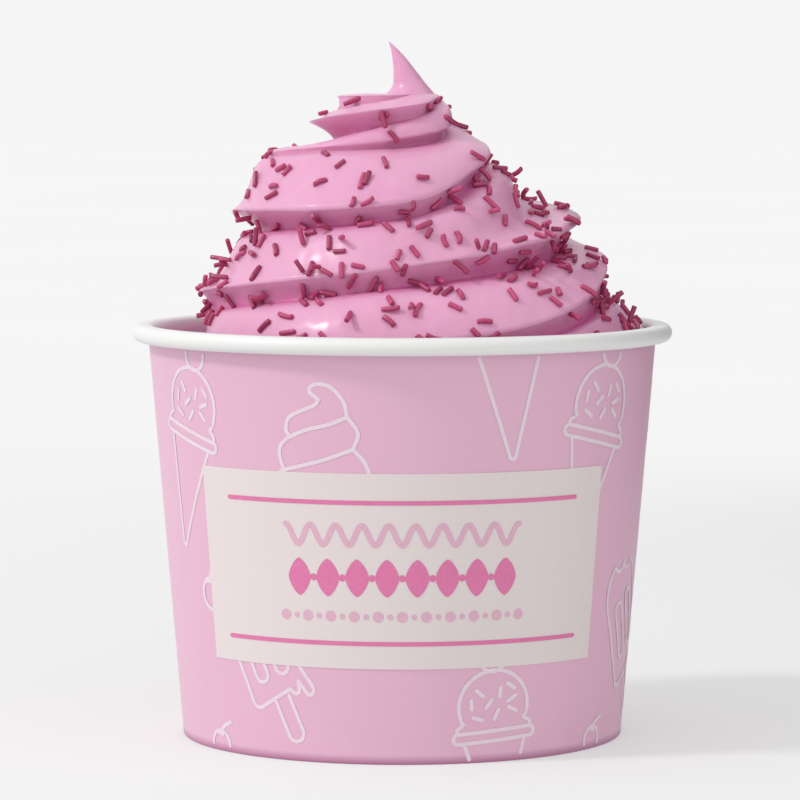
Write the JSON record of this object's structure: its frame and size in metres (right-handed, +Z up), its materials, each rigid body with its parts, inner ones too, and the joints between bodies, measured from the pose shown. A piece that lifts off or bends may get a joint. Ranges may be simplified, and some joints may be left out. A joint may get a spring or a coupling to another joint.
{
  "type": "paper ice cream tub with soft serve",
  "caption": "round tapered paper tub with rolled rim and front label, filled with a coiled soft serve swirl under sprinkles",
  "frame": {"origin": "centre of the foot ring, on the surface that the tub stands on", "axes": "+Z up along the tub's axis, -Y out of the middle of the label, +X to the right when facing the label"},
  "size_m": [0.0982, 0.0982, 0.1262],
  "materials": {
    "printed_board": "satin",
    "white_board": "matte",
    "label_paper": "satin",
    "ice_cream": "satin",
    "sprinkles": "gloss"
  },
  "bodies": {
    "root": {"cup_sidewall": "printed_board", "cup_base": "white_board", "front_label": "label_paper", "ice_cream_fill": "ice_cream", "soft_serve_swirl": "ice_cream", "sprinkles_rim_coil": "sprinkles", "sprinkles_lower_coil": "sprinkles", "sprinkles_middle_coil": "sprinkles", "sprinkles_top_coil": "sprinkles"}
  },
  "joints": []
}
